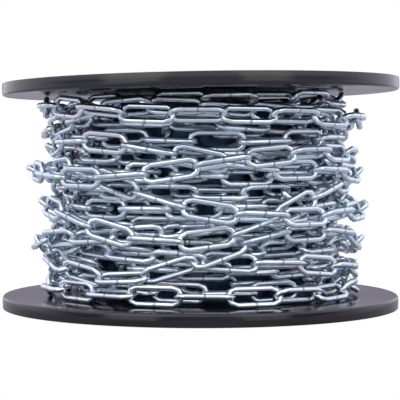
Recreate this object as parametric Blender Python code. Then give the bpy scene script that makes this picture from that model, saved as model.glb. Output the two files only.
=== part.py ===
"""Long-link steel chain wound on a moulded plastic reel that stands on its lower flange.

Metres, +Z up, the reel's axis on Z and its lower face on z = 0. The front is -Y.
"""

import math

import bmesh
import bpy
from mathutils import Matrix, Vector

# Reel
REEL_HEIGHT = 0.1273
FLANGE_RADIUS = 0.112
FLANGE_THICKNESS = 0.007
RIM_ROUNDING = 0.002
RIM_LIP_WIDTH = 0.006
RECESS_DEPTH = 0.002
HUB_BOSS_RADIUS = 0.022
BORE_RADIUS = 0.0125
BARREL_RADIUS = 0.030
UPPER_FLANGE_TILT = math.radians(1.0)

# Chain: 3 mm wire, 26 mm inside length, 12 mm outside width
WIRE = 0.003
LINK_PITCH = 0.026
LINK_WIDTH = 0.012

# Every second link shows its flat side, its upper edge leaning inwards; the ones between are square to it
LINK_LEAN = math.radians(-38.0)
LEAN_CHANGE = math.radians(2.0)
LEAN_RHYTHM = 0.9

# How the outermost layer lies
LOWEST_TURN = 0.0131
TURN_RISE = 0.01081
STEP_START = math.radians(50.0)
STEP_END = math.radians(130.0)
HOOK_SLACK = 0.0016
LINK_HALF_DEPTH = 0.0047
# How far each turn reaches out from the axis on its left and on its right, lowest turn first
TURN_REACH = [
    (0.0893, 0.0879),
    (0.0886, 0.0865),
    (0.0886, 0.0896),
    (0.0872, 0.0893),
    (0.0889, 0.0865),
    (0.0858, 0.0868),
    (0.0879, 0.0889),
    (0.0907, 0.0875),
    (0.0893, 0.0858),
    (0.0875, 0.0844),
]
# The turns rise and fall together: waves to a turn, size, start, and shift from turn to turn
WAVES = [
    (2, 0.0018, 0.7, 0.1),
    (3, 0.0014, 5.5, -0.1),
    (5, 0.0008, 2.8, 0.1),
]
# The waves die out this many turns beyond the lowest and the highest one, at the flanges
CALM_MARGIN = 0.6

# Inner layers, which the outermost one hides
CORE_RADIUS = 0.0715
CORE_TOP = 0.1125
CORE_EDGE = 0.004

GAP = 0.0004
RIM_SEGMENTS = 64
CORE_SEGMENTS = 48
WIRE_SIDES = 4
LINK_END_STEPS = 3
WALK_STEP = math.radians(0.02)

BLACK_PLASTIC = (0.012, 0.011, 0.013, 1.0)
ZINC = (0.55, 0.58, 0.62, 1.0)


def clear_scene():
    for obj in list(bpy.data.objects):
        bpy.data.objects.remove(obj)


def finish_object(name, bm, colour, metallic, roughness):
    """Turns a bmesh into a named object with its own material."""
    mesh = bpy.data.meshes.new(name)
    bm.to_mesh(mesh)
    bm.free()
    material = bpy.data.materials.new(name)
    material.use_nodes = True
    shader = material.node_tree.nodes["Principled BSDF"]
    shader.inputs["Base Color"].default_value = colour
    shader.inputs["Metallic"].default_value = metallic
    shader.inputs["Roughness"].default_value = roughness
    mesh.materials.append(material)
    obj = bpy.data.objects.new(name, mesh)
    bpy.context.scene.collection.objects.link(obj)
    return obj


def revolved(profile, segments):
    """A closed ring solid from (radius, height) corners, spun about Z."""
    bm = bmesh.new()
    points = [bm.verts.new((radius, 0.0, height)) for radius, height in profile]
    edges = [bm.edges.new(pair) for pair in zip(points, points[1:] + points[:1])]
    bmesh.ops.spin(
        bm,
        geom=points + edges,
        cent=(0.0, 0.0, 0.0),
        axis=(0.0, 0.0, 1.0),
        angle=math.tau,
        steps=segments,
        use_merge=True,
    )
    bmesh.ops.remove_doubles(bm, verts=bm.verts, dist=1e-6)
    bmesh.ops.recalc_face_normals(bm, faces=bm.faces)
    return bm


def flange_profile():
    """The lower flange: rim rounded on its chain side, outer face recessed between rim and hub."""
    rounding = []
    for step in range(4):
        angle = math.pi / 2 * step / 3
        rounding.append(
            (
                FLANGE_RADIUS - RIM_ROUNDING * (1.0 - math.cos(angle)),
                FLANGE_THICKNESS - RIM_ROUNDING * (1.0 - math.sin(angle)),
            )
        )
    return [
        (BORE_RADIUS, 0.0),
        (HUB_BOSS_RADIUS, 0.0),
        (HUB_BOSS_RADIUS, RECESS_DEPTH),
        (FLANGE_RADIUS - RIM_LIP_WIDTH, RECESS_DEPTH),
        (FLANGE_RADIUS - RIM_LIP_WIDTH, 0.0),
        (FLANGE_RADIUS, 0.0),
        *rounding,
        (BORE_RADIUS, FLANGE_THICKNESS),
    ]


def build_lower_flange():
    bm = revolved(flange_profile(), RIM_SEGMENTS)
    finish_object("lower_flange", bm, BLACK_PLASTIC, 0.0, 0.3)


def build_upper_flange():
    """The same moulding turned over and tilted a little: its left side hangs lower."""
    bm = revolved(flange_profile(), RIM_SEGMENTS)
    tilt = Matrix.Rotation(-UPPER_FLANGE_TILT, 4, "Y")
    turned_over = Matrix.Rotation(math.pi, 4, "X")
    lift = Matrix.Translation((0.0, 0.0, REEL_HEIGHT))
    bmesh.ops.transform(bm, matrix=lift @ tilt @ turned_over, verts=bm.verts)
    finish_object("upper_flange", bm, BLACK_PLASTIC, 0.0, 0.3)


def build_barrel():
    """The tube between the flanges. Its upper end follows the upper flange's tilt."""
    low = FLANGE_THICKNESS + GAP
    high = REEL_HEIGHT - FLANGE_THICKNESS - GAP
    profile = [
        (BORE_RADIUS, low),
        (BARREL_RADIUS, low),
        (BARREL_RADIUS, high),
        (BORE_RADIUS, high),
    ]
    bm = revolved(profile, CORE_SEGMENTS)
    for vert in bm.verts:
        if vert.co.z > REEL_HEIGHT / 2:
            vert.co.z += vert.co.x * math.tan(UPPER_FLANGE_TILT)
    finish_object("barrel", bm, BLACK_PLASTIC, 0.0, 0.4)


def build_chain_core():
    """The inner layers of chain as one plain ring with a rounded upper edge."""
    low = FLANGE_THICKNESS + GAP
    profile = [
        (BARREL_RADIUS + GAP, low),
        (CORE_RADIUS, low),
        (CORE_RADIUS, CORE_TOP - CORE_EDGE),
        (CORE_RADIUS - CORE_EDGE, CORE_TOP),
        (BARREL_RADIUS + GAP, CORE_TOP),
    ]
    bm = revolved(profile, CORE_SEGMENTS)
    finish_object("chain_core", bm, ZINC, 1.0, 0.4)


def link_mesh():
    """One link in the XY plane, its length along X: an oval of square wire of the round wire's section."""
    corner = WIRE / 2 * math.sqrt(math.pi / 2)
    bend = (LINK_WIDTH - WIRE) / 2
    end_cut = math.cos(math.pi / LINK_END_STEPS / 2)
    bend_centre = (LINK_PITCH + WIRE) / 2 - bend * end_cut
    bm = bmesh.new()
    section = Matrix.Translation((bend_centre, bend, 0.0)) @ Matrix.Rotation(math.pi / 2, 4, "Y")
    bmesh.ops.create_circle(bm, segments=WIRE_SIDES, radius=corner, matrix=section)
    bent = bmesh.ops.spin(
        bm,
        geom=bm.verts[:] + bm.edges[:],
        cent=(bend_centre, 0.0, 0.0),
        axis=(0.0, 0.0, 1.0),
        angle=-math.pi,
        steps=LINK_END_STEPS,
    )
    last = [part for part in bent["geom_last"] if isinstance(part, bmesh.types.BMEdge)]
    leg = bmesh.ops.extrude_edge_only(bm, edges=last)
    moved = [part for part in leg["geom"] if isinstance(part, bmesh.types.BMVert)]
    bmesh.ops.translate(bm, vec=(-2 * bend_centre, 0.0, 0.0), verts=moved)
    other = bmesh.ops.duplicate(bm, geom=bm.verts[:] + bm.edges[:] + bm.faces[:])
    turned = [part for part in other["geom"] if isinstance(part, bmesh.types.BMVert)]
    bmesh.ops.rotate(bm, matrix=Matrix.Rotation(math.pi, 3, "Z"), verts=turned)
    bmesh.ops.remove_doubles(bm, verts=bm.verts, dist=1e-6)
    bmesh.ops.recalc_face_normals(bm, faces=bm.faces)
    mesh = bpy.data.meshes.new("link")
    bm.to_mesh(mesh)
    bm.free()
    return mesh


def reach_at(turn, angle):
    left, right = TURN_REACH[turn]
    return (left + right) / 2 + (right - left) / 2 * math.cos(angle)


def wave(level, angle):
    """How far the chain lies above its level: waves that die out at the flanges."""
    span = len(TURN_REACH) - 1 + 2 * CALM_MARGIN
    size = math.sin(math.pi * (level + CALM_MARGIN) / span)
    return size * sum(
        height * math.sin(count * angle + start + shift * level) for count, height, start, shift in WAVES
    )


def path_point(angle):
    """A point of the chain's middle line: along a turn, then a step up to the next one at the back."""
    highest = len(TURN_REACH) - 1
    turn = min(int((angle - STEP_END) // math.tau), highest)
    past_step = angle - math.tau * (turn + 1) - STEP_START
    share = 0.0
    if past_step > 0.0 and turn < highest:
        share = (1.0 - math.cos(math.pi * past_step / (STEP_END - STEP_START))) / 2
    following = min(turn + 1, highest)
    reach = (1.0 - share) * reach_at(turn, angle) + share * reach_at(following, angle)
    radius = reach - LINK_HALF_DEPTH
    level = turn + share
    height = LOWEST_TURN + TURN_RISE * level + wave(level, angle)
    return Vector((radius * math.cos(angle), radius * math.sin(angle), height))


def next_angle(angle, distance):
    """How far round the path lies the next point that is this far from the one at angle."""
    start = path_point(angle)
    while (path_point(angle) - start).length < distance:
        angle += WALK_STEP
    return angle


def turns_of_links():
    """For each turn, the end points of its links. Its first link hooks loosely into the turn before."""
    turns = []
    angle = STEP_END
    for turn in range(len(TURN_REACH)):
        finish = STEP_END + math.tau * (turn + 1)
        if turn == len(TURN_REACH) - 1:
            finish = STEP_START + math.tau * (turn + 1)
        points = [path_point(angle)]
        while angle < finish:
            last_start = angle
            angle = next_angle(angle, LINK_PITCH)
            points.append(path_point(angle))
        turns.append(points)
        angle = next_angle(last_start, LINK_PITCH - HOOK_SLACK)
    return turns


def link_twist(number):
    """How far the link's width is turned outwards from the upright."""
    lean = LINK_LEAN + LEAN_CHANGE * math.sin(LEAN_RHYTHM * number)
    return lean - math.pi / 2 * (number % 2)


def link_placing(start, end, twist):
    """The matrix that lays a link from start to end, its flat side turned from the reel's face by twist."""
    along = (end - start).normalized()
    middle = (start + end) / 2
    outward = Vector((middle.x, middle.y, 0.0)).normalized()
    upward = along.cross(outward).normalized()
    outward = upward.cross(along)
    axes = Matrix((along, outward.cross(along), outward)).transposed().to_4x4()
    return Matrix.Translation(middle) @ axes @ Matrix.Rotation(twist, 4, "X")


def links_object(name, link, placings):
    bm = bmesh.new()
    for placing in placings:
        before = len(bm.verts)
        bm.from_mesh(link)
        bm.verts.ensure_lookup_table()
        bmesh.ops.transform(bm, matrix=placing, verts=bm.verts[before:])
    return finish_object(name, bm, ZINC, 1.0, 0.3)


def build_turn(turn, points, link, first_number):
    """One turn of the chain: every second link is square to the others and joined where they hook."""
    placings = []
    for place, (start, end) in enumerate(zip(points, points[1:])):
        placings.append(link_placing(start, end, link_twist(first_number + place)))
    name = f"chain_turn_{turn + 1:02d}"
    obj = links_object(name, link, placings[0::2])
    others = links_object(name + "_other_links", link, placings[1::2])
    others.hide_render = True
    others.display_type = "WIRE"
    join = obj.modifiers.new("hooked_links", "BOOLEAN")
    join.operation = "UNION"
    join.solver = "EXACT"
    join.object = others


def main():
    clear_scene()
    build_lower_flange()
    build_upper_flange()
    build_barrel()
    build_chain_core()
    link = link_mesh()
    number = 0
    for turn, points in enumerate(turns_of_links()):
        build_turn(turn, points, link, number)
        number += len(points) - 1


main()
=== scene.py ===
"""Bright zinc-plated long-link chain wound on a black moulded reel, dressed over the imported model."""

import math

import bmesh
import bpy
import numpy as np
from mathutils import Matrix, Vector


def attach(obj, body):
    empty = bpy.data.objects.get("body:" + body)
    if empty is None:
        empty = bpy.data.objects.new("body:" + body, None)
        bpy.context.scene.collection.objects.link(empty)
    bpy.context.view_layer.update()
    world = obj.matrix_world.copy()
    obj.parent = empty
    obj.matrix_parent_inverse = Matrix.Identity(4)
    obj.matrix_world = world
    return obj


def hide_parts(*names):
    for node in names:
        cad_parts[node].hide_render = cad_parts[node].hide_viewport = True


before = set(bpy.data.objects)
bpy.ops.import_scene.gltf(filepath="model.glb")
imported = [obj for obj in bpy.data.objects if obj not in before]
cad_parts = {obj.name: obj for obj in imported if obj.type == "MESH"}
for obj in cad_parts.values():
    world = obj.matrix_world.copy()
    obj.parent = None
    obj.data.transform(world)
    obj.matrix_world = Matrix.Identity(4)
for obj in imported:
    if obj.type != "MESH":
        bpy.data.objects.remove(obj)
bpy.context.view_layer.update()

# Reel, in metres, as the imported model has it
REEL_HEIGHT = 0.1273
FLANGE_RADIUS = 0.112
FLANGE_THICKNESS = 0.007
RIM_ROUNDING = 0.0014
RIM_DRAFT = 0.0002
RIM_LIP_WIDTH = 0.006
RECESS_DEPTH = 0.002
HUB_BOSS_RADIUS = 0.022
BORE_RADIUS = 0.0125
BARREL_RADIUS = 0.030
UPPER_FLANGE_TILT = math.radians(1.0)
RIM_SEGMENTS = 192
SHARP_EDGE = 0.0002

# Chain, in millimetres: the layout is worked out in these
WIRE = 3.0
PITCH = 26.0
WIDTH = 12.0
WIRE_SIDES = 6
BEND_STEPS = 4
COLLAR = 1.0
LOWEST = 7.3
FLANGE_CLEARANCE = 0.5

# The outermost layer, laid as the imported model's turns are
LINK_LEAN = math.radians(-38.0)
LEAN_CHANGE = math.radians(2.0)
LEAN_RHYTHM = 0.9
LOWEST_TURN = 13.1
TURN_RISE = 10.81
STEP_START = math.radians(50.0)
STEP_END = math.radians(130.0)
HOOK_SLACK = 1.6
LINK_HALF_DEPTH = 4.7
# How far each turn reaches out from the axis on its left and on its right, lowest turn first
TURN_REACH = [
    (89.3, 87.9),
    (88.6, 86.5),
    (88.6, 89.6),
    (87.2, 89.3),
    (88.9, 86.5),
    (85.8, 86.8),
    (87.9, 88.9),
    (90.7, 87.5),
    (89.3, 85.8),
    (87.5, 84.4),
]
# The turns rise and fall together: waves to a turn, size, start, and shift from turn to turn
WAVES = [(2, 1.8, 0.7, 0.1), (3, 1.4, 5.5, -0.1), (5, 0.8, 2.8, 0.1)]
CALM_MARGIN = 0.6
WALK_STEP = math.radians(0.02)
# What the loose links do beyond that: bulge and stray outwards, up, down and in their lean
BULGE = 1.9
UNEVENNESS = 1.7
OUTWARD_WANDER = 3.5
HEIGHT_WANDER = 24.0
WANDER_LINKS = 4.2
# One link stands more open to the front and the next lies more on edge
LOOSE_LEAN = math.radians(8.0)
LEAN_WANDER = math.radians(46.0)
# The share of this straying that is left at a flange, and how many turns away from it the chain is free
HELD = 0.25
FREE_FROM = 1.6
PACK_SHIFT = 0.2
# Where strands cross, how strongly the later one climbs over the earlier one
CLIMB = 14.0
# How much room links that lie beside each other are given
ELBOW_ROOM = 0.8

# The layers under it, as (radius, turns), round a plain core
CORE = 62.5
CORE_TOP = 0.1130
INNER_LAYERS = [(68.0, 10.6), (77.0, 10.9)]
INNER_WANDER = 3.0
# How quickly the pull along the chain takes a kink out of it
TAUTNESS = 0.25
# How far, in each round of settling, a strand slips back towards the height it was wound at
COURSE_PULL = 0.06
SETTLING_ROUNDS = 200
SEED = 13


def linear(hex_colour):
    """An sRGB colour such as "c8d0d8" as linear red, green, blue and full alpha."""
    channels = [int(hex_colour[place : place + 2], 16) / 255 for place in (0, 2, 4)]
    return [c / 12.92 if c <= 0.04045 else ((c + 0.055) / 1.055) ** 2.4 for c in channels] + [1.0]


def add_node(tree, kind, settings=None, values=None, links=None, stops=()):
    """Adds a node: its properties, its sockets' own values, what feeds its sockets, and its ramp's colour stops.

    The first two stops are the ends of the ramp.
    """
    node = tree.nodes.new(kind)
    for name, value in (settings or {}).items():
        setattr(node, name, value)
    for socket, value in (values or {}).items():
        node.inputs[socket].default_value = value
    for socket, source in (links or {}).items():
        tree.links.new(source, node.inputs[socket])
    for number, (position, colour) in enumerate(stops):
        points = node.color_ramp.elements
        point = points[number] if number < 2 else points.new(position)
        point.position = position
        point.color = linear(colour)
    return node


def new_material(name):
    material = bpy.data.materials.new(name)
    material.use_nodes = True
    tree = material.node_tree
    return material, tree, tree.nodes["Principled BSDF"]


def bright_zinc_plating():
    """Steel wire, drawn and welded, then electroplated with zinc and clear blue passivated.

    It gives the eye a cold mirror with soft edges, a faint blue and lilac cast that changes from link to link,
    and a dull grey collar where each link is welded.
    """
    material, tree, shader = new_material("bright_zinc_plating")
    place = add_node(tree, "ShaderNodeTexCoord").outputs["Object"]
    shade = add_node(tree, "ShaderNodeAttribute", {"attribute_name": "link_shade"}).outputs["Fac"]
    weld = add_node(tree, "ShaderNodeAttribute", {"attribute_name": "weld"}).outputs["Fac"]
    # Clouds of about 4 mm in the passivation
    clouds = add_node(tree, "ShaderNodeTexNoise", values={"Scale": 250.0, "Detail": 2.0}, links={"Vector": place})
    mixed = add_node(
        tree, "ShaderNodeMath", {"operation": "ADD"}, links={0: clouds.outputs["Fac"], 1: shade}
    )
    halved = add_node(tree, "ShaderNodeMath", {"operation": "MULTIPLY"}, {1: 0.5}, {0: mixed.outputs[0]})
    tint = add_node(
        tree,
        "ShaderNodeValToRGB",
        links={"Fac": halved.outputs[0]},
        stops=[(0.2, "c8d6e1"), (0.8, "e2eaf1"), (0.45, "d3dfe9"), (0.6, "dae0e9")],
    )
    collar = add_node(
        tree,
        "ShaderNodeMix",
        {"data_type": "RGBA"},
        {"B": linear("87909a")},
        {"Factor": weld, "A": tint.outputs["Color"]},
    )
    tree.links.new(collar.outputs["Result"], shader.inputs["Base Color"])
    shader.inputs["Metallic"].default_value = 1.0
    rough = add_node(
        tree,
        "ShaderNodeMapRange",
        values={"From Min": 0.25, "From Max": 0.75, "To Min": 0.2, "To Max": 0.28},
        links={"Value": clouds.outputs["Fac"]},
    )
    tree.links.new(rough.outputs["Result"], shader.inputs["Roughness"])
    # The drawn wire's slight unevenness, about 1.5 mm long
    grain = add_node(tree, "ShaderNodeTexNoise", values={"Scale": 650.0, "Detail": 1.0}, links={"Vector": place})
    bump = add_node(
        tree,
        "ShaderNodeBump",
        values={"Strength": 0.008, "Distance": 0.0004},
        links={"Height": grain.outputs["Fac"]},
    )
    tree.links.new(bump.outputs["Normal"], shader.inputs["Normal"])
    return material


def shaded_inner_chain():
    """Painted shadow for the chain deep in the winding: a plain dark blue-grey metal that stands in for the shaded
    layers.
    """
    material, tree, shader = new_material("painted_shadow_of_the_winding")
    place = add_node(tree, "ShaderNodeTexCoord").outputs["Object"]
    clouds = add_node(tree, "ShaderNodeTexNoise", values={"Scale": 160.0, "Detail": 3.0}, links={"Vector": place})
    # Dark blue-grey stops: painted shade for the layers that lie in shadow deep in the winding
    tint = add_node(
        tree, "ShaderNodeValToRGB", links={"Fac": clouds.outputs["Fac"]}, stops=[(0.3, "1a2634"), (0.7, "3e5064")]
    )
    tree.links.new(tint.outputs["Color"], shader.inputs["Base Color"])
    shader.inputs["Metallic"].default_value = 1.0
    shader.inputs["Roughness"].default_value = 0.45
    return material


def black_moulded_plastic():
    """Injection-moulded polypropylene, black: a smooth skin with a soft gloss and faint flow and handling marks."""
    material, tree, shader = new_material("black_moulded_plastic")
    place = add_node(tree, "ShaderNodeTexCoord").outputs["Object"]
    # Flow marks some 30 mm long and 1.5 mm high, lying level round the rim
    level = add_node(tree, "ShaderNodeMapping", values={"Scale": (1.0, 1.0, 20.0)}, links={"Vector": place})
    flow = add_node(
        tree, "ShaderNodeTexNoise", values={"Scale": 32.0, "Detail": 3.0}, links={"Vector": level.outputs["Vector"]}
    )
    tint = add_node(
        tree, "ShaderNodeValToRGB", links={"Fac": flow.outputs["Fac"]}, stops=[(0.3, "0e0b11"), (0.7, "201b23")]
    )
    tree.links.new(tint.outputs["Color"], shader.inputs["Base Color"])
    rough = add_node(
        tree,
        "ShaderNodeMapRange",
        values={"From Min": 0.3, "From Max": 0.7, "To Min": 0.08, "To Max": 0.22},
        links={"Value": flow.outputs["Fac"]},
    )
    tree.links.new(rough.outputs["Result"], shader.inputs["Roughness"])
    shader.inputs["IOR"].default_value = 1.49
    grain = add_node(tree, "ShaderNodeTexNoise", values={"Scale": 900.0, "Detail": 3.0}, links={"Vector": place})
    bump = add_node(
        tree,
        "ShaderNodeBump",
        values={"Strength": 0.08, "Distance": 0.0003},
        links={"Height": grain.outputs["Fac"]},
    )
    tree.links.new(bump.outputs["Normal"], shader.inputs["Normal"])
    return material


def textured_plastic():
    """The same plastic where the mould is spark-eroded: a fine satin texture on the flanges' outer faces."""
    material, tree, shader = new_material("textured_black_plastic")
    place = add_node(tree, "ShaderNodeTexCoord").outputs["Object"]
    cloudy = add_node(tree, "ShaderNodeTexNoise", values={"Scale": 40.0, "Detail": 4.0}, links={"Vector": place})
    tint = add_node(
        tree, "ShaderNodeValToRGB", links={"Fac": cloudy.outputs["Fac"]}, stops=[(0.3, "0e0b11"), (0.7, "19151c")]
    )
    tree.links.new(tint.outputs["Color"], shader.inputs["Base Color"])
    rough = add_node(
        tree,
        "ShaderNodeMapRange",
        values={"From Min": 0.3, "From Max": 0.7, "To Min": 0.46, "To Max": 0.58},
        links={"Value": cloudy.outputs["Fac"]},
    )
    tree.links.new(rough.outputs["Result"], shader.inputs["Roughness"])
    shader.inputs["IOR"].default_value = 1.49
    shader.inputs["Specular IOR Level"].default_value = 0.3
    # Pits of about 1 mm, drawn coarser than the real ones so that they show
    pits = add_node(tree, "ShaderNodeTexNoise", values={"Scale": 1000.0, "Detail": 2.0}, links={"Vector": place})
    bump = add_node(
        tree, "ShaderNodeBump", values={"Strength": 0.25, "Distance": 0.0003}, links={"Height": pits.outputs["Fac"]}
    )
    tree.links.new(bump.outputs["Normal"], shader.inputs["Normal"])
    return material


def finished(name, bm, materials):
    """The bmesh as an object that rides on the reel."""
    mesh = bpy.data.meshes.new(name)
    bm.to_mesh(mesh)
    bm.free()
    for material in materials:
        mesh.materials.append(material)
    obj = bpy.data.objects.new(name, mesh)
    bpy.context.scene.collection.objects.link(obj)
    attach(obj, "root")
    return obj


def spun(profile, segments):
    """A ring from (radius, height) corners spun about the reel's axis."""
    bm = bmesh.new()
    points = [bm.verts.new((radius, 0.0, height)) for radius, height in profile]
    edges = [bm.edges.new(pair) for pair in zip(points, points[1:] + points[:1])]
    bmesh.ops.spin(
        bm,
        geom=points + edges,
        cent=(0.0, 0.0, 0.0),
        axis=(0.0, 0.0, 1.0),
        angle=math.tau,
        steps=segments,
        use_merge=True,
    )
    bmesh.ops.remove_doubles(bm, verts=bm.verts, dist=1e-6)
    bmesh.ops.recalc_face_normals(bm, faces=bm.faces)
    return bm


def flange_disc():
    """The lower flange, chain side up: edges eased, chain-side rim rounded, the mould's parting line round the rim."""
    profile = [
        (BORE_RADIUS, 0.0),
        (HUB_BOSS_RADIUS, 0.0),
        (HUB_BOSS_RADIUS, RECESS_DEPTH),
        (FLANGE_RADIUS - RIM_LIP_WIDTH, RECESS_DEPTH),
        (FLANGE_RADIUS - RIM_LIP_WIDTH, 0.0),
        (FLANGE_RADIUS - RIM_DRAFT, 0.0),
        (FLANGE_RADIUS, FLANGE_THICKNESS / 2),
        (FLANGE_RADIUS - RIM_DRAFT, FLANGE_THICKNESS),
        (BORE_RADIUS, FLANGE_THICKNESS),
    ]
    bm = spun(profile, RIM_SEGMENTS)
    top = [
        edge
        for edge in bm.edges
        if all(
            vert.co.z > FLANGE_THICKNESS - SHARP_EDGE and vert.co.xy.length > FLANGE_RADIUS - RIM_LIP_WIDTH / 2
            for vert in edge.verts
        )
    ]
    bmesh.ops.bevel(
        bm,
        geom=top,
        offset=RIM_ROUNDING,
        offset_type="OFFSET",
        affect="EDGES",
        segments=6,
        profile=0.5,
        material=-1,
        clamp_overlap=True,
    )
    low = [
        edge
        for edge in bm.edges
        if abs(edge.verts[0].co.z - edge.verts[1].co.z) < 1e-6
        and abs(edge.verts[0].co.xy.length - edge.verts[1].co.xy.length) < 1e-5
        and edge.verts[0].co.z < FLANGE_THICKNESS / 2
        and len(edge.link_faces) == 2
        and edge.calc_face_angle(0.0) > 1.0
    ]
    bmesh.ops.bevel(
        bm,
        geom=low,
        offset=SHARP_EDGE,
        offset_type="OFFSET",
        affect="EDGES",
        segments=2,
        profile=0.5,
        material=-1,
        clamp_overlap=True,
    )
    smooth(bm)
    for edge in bm.edges:
        if all(abs(vert.co.z - FLANGE_THICKNESS / 2) < 1e-6 for vert in edge.verts):
            edge.smooth = False
    for face in bm.faces:
        if all(abs(vert.co.z - RECESS_DEPTH) < 1e-6 for vert in face.verts):
            face.material_index = 1
    return bm


def smooth(bm, sharp_from=35.0):
    """Smooth shading, with the edges over this many degrees kept crisp."""
    for face in bm.faces:
        face.smooth = True
    for edge in bm.edges:
        edge.smooth = edge.calc_face_angle(0.0) < math.radians(sharp_from)


def make_reel(plastic, textured):
    lower = flange_disc()
    piece = finished("lower_flange_moulding", lower, [plastic, textured])
    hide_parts("lower_flange")
    upper = flange_disc()
    turned_over = Matrix.Rotation(math.pi, 4, "X")
    tilt = Matrix.Rotation(-UPPER_FLANGE_TILT, 4, "Y")
    lift = Matrix.Translation((0.0, 0.0, REEL_HEIGHT))
    bmesh.ops.transform(upper, matrix=lift @ tilt @ turned_over, verts=upper.verts)
    piece = finished("upper_flange_moulding", upper, [plastic, textured])
    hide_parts("upper_flange")


def wandering(noise, length, knots_apart, reach):
    """A slow random wander of this length, within plus or minus reach."""
    knots = noise.uniform(-reach, reach, int(length / knots_apart) + 3)
    where = np.arange(length) / knots_apart
    low = where.astype(int)
    share = (1.0 - np.cos(np.pi * (where - low))) / 2
    return knots[low] * (1.0 - share) + knots[low + 1] * share


def reach_at(turn, angle):
    left, right = TURN_REACH[turn]
    return (left + right) / 2 + (right - left) / 2 * math.cos(angle)


def wave(level, angle):
    """How far the chain lies above its level: waves that die out at the flanges."""
    span = len(TURN_REACH) - 1 + 2 * CALM_MARGIN
    size = math.sin(math.pi * (level + CALM_MARGIN) / span)
    return size * sum(
        height * math.sin(count * angle + start + shift * level) for count, height, start, shift in WAVES
    )


def path_point(angle):
    """A point of the outermost layer's middle line: along a turn, then a step up to the next at the back."""
    highest = len(TURN_REACH) - 1
    turn = min(int((angle - STEP_END) // math.tau), highest)
    past_step = angle - math.tau * (turn + 1) - STEP_START
    share = 0.0
    if past_step > 0.0 and turn < highest:
        share = (1.0 - math.cos(math.pi * past_step / (STEP_END - STEP_START))) / 2
    following = min(turn + 1, highest)
    reach = (1.0 - share) * reach_at(turn, angle) + share * reach_at(following, angle)
    radius = reach - LINK_HALF_DEPTH
    level = turn + share
    height = LOWEST_TURN + TURN_RISE * level + wave(level, angle)
    return Vector((radius * math.cos(angle), radius * math.sin(angle), height))


def next_angle(angle, distance):
    start = path_point(angle)
    while (path_point(angle) - start).length < distance:
        angle += WALK_STEP
    return angle


def outer_path():
    """The joints of the outermost layer. A turn's first link sits a little closer to the link before it."""
    points = []
    angle = STEP_END
    for turn in range(len(TURN_REACH)):
        finish = STEP_END + math.tau * (turn + 1)
        if turn == len(TURN_REACH) - 1:
            finish = STEP_START + math.tau * (turn + 1)
        first = path_point(angle)
        if points:
            first = (first + points.pop()) / 2
        points.append(first)
        while angle < finish:
            last_start = angle
            angle = next_angle(angle, PITCH)
            points.append(path_point(angle))
        angle = next_angle(last_start, PITCH - HOOK_SLACK)
    return np.array(points)


def ceiling(across):
    """How high the chain may reach under the tilted upper flange, this far to the right of the axis."""
    return (REEL_HEIGHT - FLANGE_THICKNESS) * 1000 - FLANGE_CLEARANCE + across * math.tan(UPPER_FLANGE_TILT)


def inner_path(noise):
    """The joints of the layers below before they settle: layer on layer, up and down between the flanges."""
    points = []
    angle = 0.0
    upward = True
    for radius, turns in INNER_LAYERS:
        count = int(turns * math.tau * radius / PITCH)
        progress = np.linspace(0.0, 1.0, count)
        if not upward:
            progress = progress[::-1]
        lowest, highest = LOWEST + 5.2, float(ceiling(0.0)) - 5.2
        heights = lowest + progress * (highest - lowest) + wandering(noise, count, 4.0, INNER_WANDER)
        angles = angle + np.arange(count) * PITCH / radius
        points.append(np.stack([radius * np.cos(angles), radius * np.sin(angles), heights], axis=1))
        angle = angles[-1] + PITCH / radius
        upward = not upward
    return np.concatenate(points)


def unit(vectors):
    return vectors / np.linalg.norm(vectors, axis=-1, keepdims=True)


def link_axes(joints, first, twist):
    """For each link its middle, its direction and the direction of its width. first are the joints it starts at."""
    start, end = joints[first], joints[first + 1]
    middle = (start + end) / 2
    along = unit(end - start)
    outward = middle * [1.0, 1.0, 0.0]
    outward = unit(outward - along * np.sum(outward * along, axis=1, keepdims=True))
    upward = np.cross(outward, along)
    across = upward * np.cos(twist)[:, None] + outward * np.sin(twist)[:, None]
    return middle, along, across


def half_depth(across, direction):
    """How far a link reaches from its middle line in a direction square to it."""
    bend = (WIDTH - WIRE) / 2
    return bend * np.abs(np.sum(across * direction, axis=-1)) + WIRE / 2


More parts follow.
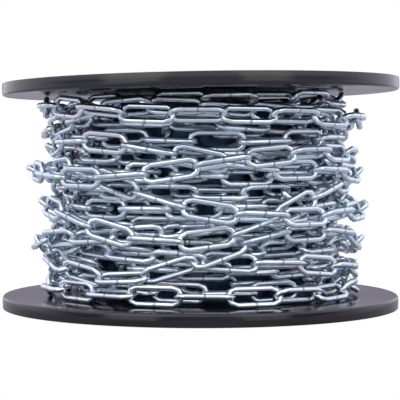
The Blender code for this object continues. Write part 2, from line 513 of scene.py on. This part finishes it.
def settle(joints, first, twist, home, order, rounds):
    """Lets the wound chain draw in under its tension while its links keep clear of each other.

    home is the radius that each joint is drawn to, and order says which of two links was wound on later.
    """
    joints = joints.copy()
    course = joints[:, 2].copy()
    stations = np.array([-9.0, 0.0, 9.0])
    count = len(first)
    owner = np.repeat(np.arange(count), len(stations))
    share = np.tile(stations / PITCH + 0.5, count)
    pitch = np.linalg.norm(joints[first + 1] - joints[first], axis=1)
    pitch = np.minimum(pitch, PITCH)
    between = first[1:][np.diff(first) == 1]
    for turn in range(rounds):
        middle, along, across = link_axes(joints, first, twist)
        spots = (middle[:, None, :] + along[:, None, :] * stations[None, :, None]).reshape(-1, 3)
        if turn % 8 == 0:
            near = []
            for low in range(0, len(spots), 200):
                apart = np.linalg.norm(spots[low : low + 200, None, :] - spots[None], axis=2)
                one, two = np.nonzero(apart < 19.0)
                one = one + low
                keep = owner[two] > owner[one] + 2
                near.append(np.stack([one[keep], two[keep]], axis=1))
            near = np.concatenate(near)
        spot_one, spot_two = near[:, 0], near[:, 1]
        one, two = owner[spot_one], owner[spot_two]
        gap = spots[spot_two] - spots[spot_one]
        heading = unit(along[one] + along[two] * np.sign(np.sum(along[one] * along[two], axis=1))[:, None])
        slide = np.sum(gap * heading, axis=1)
        aside = gap - heading * slide[:, None]
        distance = np.linalg.norm(aside, axis=1) + 1e-6
        direction = aside / distance[:, None]
        needed = half_depth(across[one], direction) + half_depth(across[two], direction) + ELBOW_ROOM
        push = np.where(np.abs(slide) < 6.0, np.maximum(needed - distance, 0.0), 0.0) * 0.3
        outward = unit(middle[one] * [1.0, 1.0, 0.0])
        direction = unit(aside + outward * (CLIMB * np.sign(order[two] - order[one]))[:, None])
        move = np.zeros_like(joints)
        weight = np.full(len(joints), 1e-6)
        for link, spot, sign in ((first[one], spot_one, -1.0), (first[two], spot_two, 1.0)):
            step = direction * (push * sign)[:, None]
            ahead = share[spot]
            np.add.at(move, link, step * (1 - ahead)[:, None])
            np.add.at(move, link + 1, step * ahead[:, None])
            busy = push > 0
            np.add.at(weight, link, (1 - ahead) * busy)
            np.add.at(weight, link + 1, ahead * busy)
        joints += move / np.maximum(weight, 1.0)[:, None] * 1.6
        radius = np.linalg.norm(joints[:, :2], axis=1)
        pull = 0.3 if turn < rounds * 0.6 else 0.1
        drawn = radius + np.clip(home - radius, -pull, pull)
        stray = drawn - home
        drawn[between] += TAUTNESS * ((stray[between - 1] + stray[between + 1]) / 2 - stray[between])
        joints[:, :2] *= (drawn / radius)[:, None]
        room = np.full(len(joints), WIRE / 2)
        tall = half_depth(across, np.array([0.0, 0.0, 1.0]))
        np.maximum.at(room, first, tall)
        np.maximum.at(room, first + 1, tall)
        stray = joints[:, 2] - course
        joints[between, 2] += TAUTNESS * ((stray[between - 1] + stray[between + 1]) / 2 - stray[between])
        joints[:, 2] -= np.clip(stray, -COURSE_PULL, COURSE_PULL)
        joints[:, 2] = np.clip(joints[:, 2], LOWEST + room, ceiling(joints[:, 0]) - room)
        for _ in range(3):
            step = joints[first + 1] - joints[first]
            length = np.linalg.norm(step, axis=1)
            fix = step * ((length - pitch) / length / 2)[:, None] * 0.9
            joints[first] += fix
            joints[first + 1] -= fix
    return joints


def link_template():
    """One link along X with its width along Y, in millimetres: a bent wire with a weld collar in one leg."""
    bend = (WIDTH - WIRE) / 2
    centre = (PITCH + WIRE) / 2 - bend
    bm = bmesh.new()
    weld = bm.verts.layers.float.new("weld")
    section = Matrix.Translation((centre, bend, 0.0)) @ Matrix.Rotation(math.pi / 2, 4, "Y")
    bmesh.ops.create_circle(bm, segments=WIRE_SIDES, radius=WIRE / 2 * 1.08, matrix=section)
    bent = bmesh.ops.spin(
        bm,
        geom=bm.verts[:] + bm.edges[:],
        cent=(centre, 0.0, 0.0),
        axis=(0.0, 0.0, 1.0),
        angle=-math.pi,
        steps=BEND_STEPS,
    )
    last = [part for part in bent["geom_last"] if isinstance(part, bmesh.types.BMEdge)]
    at = centre
    for stop in (COLLAR, 0.0, -COLLAR, -centre):
        leg = bmesh.ops.extrude_edge_only(bm, edges=last)
        moved = [part for part in leg["geom"] if isinstance(part, bmesh.types.BMVert)]
        last = [part for part in leg["geom"] if isinstance(part, bmesh.types.BMEdge)]
        last = [edge for edge in last if all(vert in moved for vert in edge.verts)]
        bmesh.ops.translate(bm, vec=(stop - at, 0.0, 0.0), verts=moved)
        at = stop
    bent = bmesh.ops.spin(
        bm,
        geom=list(dict.fromkeys(vert for edge in last for vert in edge.verts)) + last,
        cent=(-centre, 0.0, 0.0),
        axis=(0.0, 0.0, 1.0),
        angle=-math.pi,
        steps=BEND_STEPS,
    )
    bmesh.ops.bridge_loops(bm, edges=[edge for edge in bm.edges if edge.is_boundary])
    bmesh.ops.remove_doubles(bm, verts=bm.verts, dist=1e-4)
    bmesh.ops.recalc_face_normals(bm, faces=bm.faces)
    for vert in bm.verts:
        if abs(vert.co.x) < 1e-4:
            vert[weld] = 1.0
            vert.co.y = -bend + (vert.co.y + bend) * 1.14
            vert.co.z *= 1.14
    for face in bm.faces:
        face.smooth = True
    for edge in bm.edges:
        edge.smooth = not all(abs(abs(vert.co.x) - COLLAR) < 1e-4 for vert in edge.verts)
    mesh = bpy.data.meshes.new("link")
    bm.to_mesh(mesh)
    bm.free()
    return mesh


def lay_links(name, template, placing, shades, material):
    """A layer of links, each a copy of the template at its own place."""
    middle, along, across = placing
    bm = bmesh.new()
    shade = bm.verts.layers.float.new("link_shade")
    for link in range(len(middle)):
        before = len(bm.verts)
        bm.from_mesh(template)
        bm.verts.ensure_lookup_table()
        new = bm.verts[before:]
        normal = np.cross(along[link], across[link])
        axes = Matrix((along[link], across[link], normal)).transposed().to_4x4()
        place = Matrix.Scale(0.001, 4) @ Matrix.Translation(middle[link]) @ axes
        bmesh.ops.transform(bm, matrix=place, verts=new)
        shade = bm.verts.layers.float["link_shade"]
        for vert in new:
            vert[shade] = shades[link]
    piece = finished(name, bm, [material])
    # The long straight legs keep their own shading up to the bends
    evened = piece.modifiers.new("straight_legs", "WEIGHTED_NORMAL")
    evened.mode = "FACE_AREA"
    evened.weight = 90
    evened.keep_sharp = True
    return piece


def wound_chain(seed):
    """Where every link lies: middles, directions and widths, and how many of them are in the outermost layer."""
    noise = np.random.RandomState(seed)
    inner_noise = np.random.RandomState(seed + 1000)
    outer = outer_path()
    inner = inner_path(inner_noise)
    count = len(outer)
    home = np.linalg.norm(outer[:, :2], axis=1)
    home = home.mean() + BULGE + (home - home.mean()) * UNEVENNESS
    home += wandering(noise, count, WANDER_LINKS, OUTWARD_WANDER)
    home = np.append(home, np.full(len(inner), CORE + 5.0))
    # The lowest and the highest turn lie against their flanges and stray less
    level = (outer[:, 2] - LOWEST_TURN) / TURN_RISE
    from_flange = np.clip(np.minimum(level, len(TURN_REACH) - 1 - level), 0.0, FREE_FROM) / FREE_FROM
    outer[:, 2] += wandering(noise, count, WANDER_LINKS, HEIGHT_WANDER) * (HELD + (1.0 - HELD) * from_flange)
    joints = np.concatenate([outer, inner])
    first = np.delete(np.arange(len(joints) - 1), count - 1)
    number = np.arange(count - 1)
    lean = LINK_LEAN + LOOSE_LEAN + LEAN_CHANGE * np.sin(LEAN_RHYTHM * number)
    lean += wandering(noise, count - 1, 5.0, LEAN_WANDER)
    inner_lean = LINK_LEAN + LOOSE_LEAN + wandering(inner_noise, len(inner) - 1, 5.0, LEAN_WANDER)
    quarter_turns = np.append(number % 2, np.arange(len(inner) - 1) % 2) * (-math.pi / 2)
    twist = np.append(lean, inner_lean) + quarter_turns
    # The inner layers were wound before the outermost one
    order = np.append(number + len(inner), np.arange(len(inner) - 1))
    joints = settle(joints, first, twist, home, order, SETTLING_ROUNDS)
    joints[:, 0] += PACK_SHIFT
    return link_axes(joints, first, twist), count - 1


def make_chain(zinc, winding_shadow):
    placing, outermost = wound_chain(SEED)
    shades = np.random.RandomState(SEED).uniform(0.0, 1.0, len(placing[0]))
    template = link_template()
    outside = slice(0, outermost)
    inside = slice(outermost, len(shades))
    layer = [axis[outside] for axis in placing]
    piece = lay_links("outer_chain_layer", template, layer, shades[outside], zinc)
    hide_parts(*[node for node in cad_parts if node.startswith("chain_turn")])
    layer = [axis[inside] for axis in placing]
    piece = lay_links("inner_chain_layers", template, layer, shades[inside], zinc)
    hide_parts("chain_core")
    core = spun(
        [
            (BARREL_RADIUS + 0.0004, FLANGE_THICKNESS + 0.0004),
            (CORE / 1000, FLANGE_THICKNESS + 0.0004),
            (CORE / 1000, CORE_TOP),
            (BARREL_RADIUS + 0.0004, CORE_TOP),
        ],
        96,
    )
    smooth(core)
    # A plain core in the painted-shadow material fills the gaps between links as dark shade
    finished("deep_chain_layers", core, [winding_shadow])


def softbox(name, place, aim, width, height, power):
    light = bpy.data.lights.new(name, "AREA")
    light.shape = "RECTANGLE"
    light.size = width
    light.size_y = height
    light.energy = power
    lamp = bpy.data.objects.new(name, light)
    lamp.location = place
    lamp.rotation_euler = (Vector(aim) - Vector(place)).to_track_quat("-Z", "Y").to_euler()
    bpy.context.scene.collection.objects.link(lamp)


def make_studio():
    """White surroundings: a bright ceiling, greyer walls that show in the gloss, and large softboxes."""
    world = bpy.data.worlds.new("studio")
    bpy.context.scene.world = world
    world.use_nodes = True
    tree = world.node_tree
    backdrop = tree.nodes["Background"]
    backdrop.inputs["Color"].default_value = linear("ffffff")
    way = add_node(tree, "ShaderNodeTexCoord").outputs["Generated"]
    split = add_node(tree, "ShaderNodeSeparateXYZ", links={"Vector": way})
    height = add_node(tree, "ShaderNodeMapRange", values={"From Min": -1.0}, links={"Value": split.outputs["Z"]})
    front = add_node(
        tree,
        "ShaderNodeValToRGB",
        links={"Fac": height.outputs["Result"]},
        stops=[
            (0.0, "d0d2e0"),
            (1.0, "e8eaf2"),
            (0.45, "c0c4d2"),
            (0.5, "6c6e7e"),
            (0.57, "6c6e7e"),
            (0.62, "d4d8e4"),
            (0.7, "fcfcff"),
        ],
    )
    back = add_node(
        tree,
        "ShaderNodeValToRGB",
        links={"Fac": height.outputs["Result"]},
        stops=[(0.0, "c0c0c8"), (1.0, "d0d2da"), (0.45, "94909e"), (0.55, "807c8a"), (0.7, "d8dae2")],
    )
    # Pale side walls, which light up the two ends of each rim
    aside = add_node(tree, "ShaderNodeMath", {"operation": "ABSOLUTE"}, links={0: split.outputs["X"]})
    walls = add_node(
        tree, "ShaderNodeMapRange", values={"From Min": 0.22, "From Max": 0.42}, links={"Value": aside.outputs[0]}
    )
    back_and_walls = add_node(
        tree,
        "ShaderNodeMix",
        {"data_type": "RGBA"},
        {"B": linear("e6e4f0")},
        {"Factor": walls.outputs["Result"], "A": back.outputs["Color"]},
    )
    behind = add_node(
        tree,
        "ShaderNodeMapRange",
        values={"From Min": -0.3, "From Max": 0.3},
        links={"Value": split.outputs["Y"]},
    )
    around = add_node(
        tree,
        "ShaderNodeMix",
        {"data_type": "RGBA"},
        links={"Factor": behind.outputs["Result"], "A": front.outputs["Color"], "B": back_and_walls.outputs["Result"]},
    )
    room = add_node(
        tree, "ShaderNodeBackground", values={"Strength": 1.45}, links={"Color": around.outputs["Result"]}
    )
    seen = add_node(tree, "ShaderNodeLightPath").outputs["Is Camera Ray"]
    mix = add_node(tree, "ShaderNodeMixShader", links={0: seen, 1: room.outputs[0], 2: backdrop.outputs[0]})
    tree.links.new(mix.outputs[0], tree.nodes["World Output"].inputs["Surface"])
    softbox("left_softbox", (-0.68, -0.9, 0.52), (0.0, 0.0, 0.06), 0.7, 1.4, 3.4)
    softbox("right_softbox", (0.68, -0.95, 0.48), (0.0, 0.0, 0.06), 0.6, 1.3, 2.2)
    softbox("top_softbox", (0.0, 0.1, 1.1), (0.0, 0.0, 0.06), 1.4, 1.2, 4.5)
    floor = bmesh.new()
    bmesh.ops.create_circle(floor, cap_ends=True, segments=96, radius=1.0)
    # A paper's thickness below the reel, so that the two faces don't show through each other
    bmesh.ops.translate(floor, vec=(0.0, 0.0, -0.0002), verts=floor.verts)
    mesh = bpy.data.meshes.new("floor")
    floor.to_mesh(mesh)
    floor.free()
    material, tree, shader = new_material("white_paper_sweep")
    shader.inputs["Base Color"].default_value = linear("a8a8ac")
    shader.inputs["Roughness"].default_value = 0.9
    # Paper burnt out to white, as the photograph shows it, while what it throws back stays soft
    white = add_node(tree, "ShaderNodeEmission", values={"Color": linear("ffffff")})
    seen = add_node(tree, "ShaderNodeLightPath").outputs["Is Camera Ray"]
    mix = add_node(tree, "ShaderNodeMixShader", links={0: seen, 1: shader.outputs[0], 2: white.outputs[0]})
    tree.links.new(mix.outputs[0], tree.nodes["Material Output"].inputs["Surface"])
    mesh.materials.append(material)
    obj = bpy.data.objects.new("floor", mesh)
    bpy.context.scene.collection.objects.link(obj)


def make_camera():
    """The photograph's view: level with the middle of the reel and about 0.84 m away."""
    lens = bpy.data.cameras.new("camera")
    lens.sensor_width = 36.0
    lens.lens = 132.8
    lens.clip_start = 0.01
    camera = bpy.data.objects.new("camera", lens)
    camera.location = (-0.0003, -0.84, 0.0866)
    camera.rotation_euler.x = math.radians(90.0) - 0.0316
    bpy.context.scene.collection.objects.link(camera)
    bpy.context.scene.camera = camera


bpy.context.scene.view_settings.view_transform = "Standard"
plastic = black_moulded_plastic()
zinc = bright_zinc_plating()
make_reel(plastic, textured_plastic())
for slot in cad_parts["barrel"].material_slots:
    slot.material = plastic
make_chain(zinc, shaded_inner_chain())
make_studio()
make_camera()
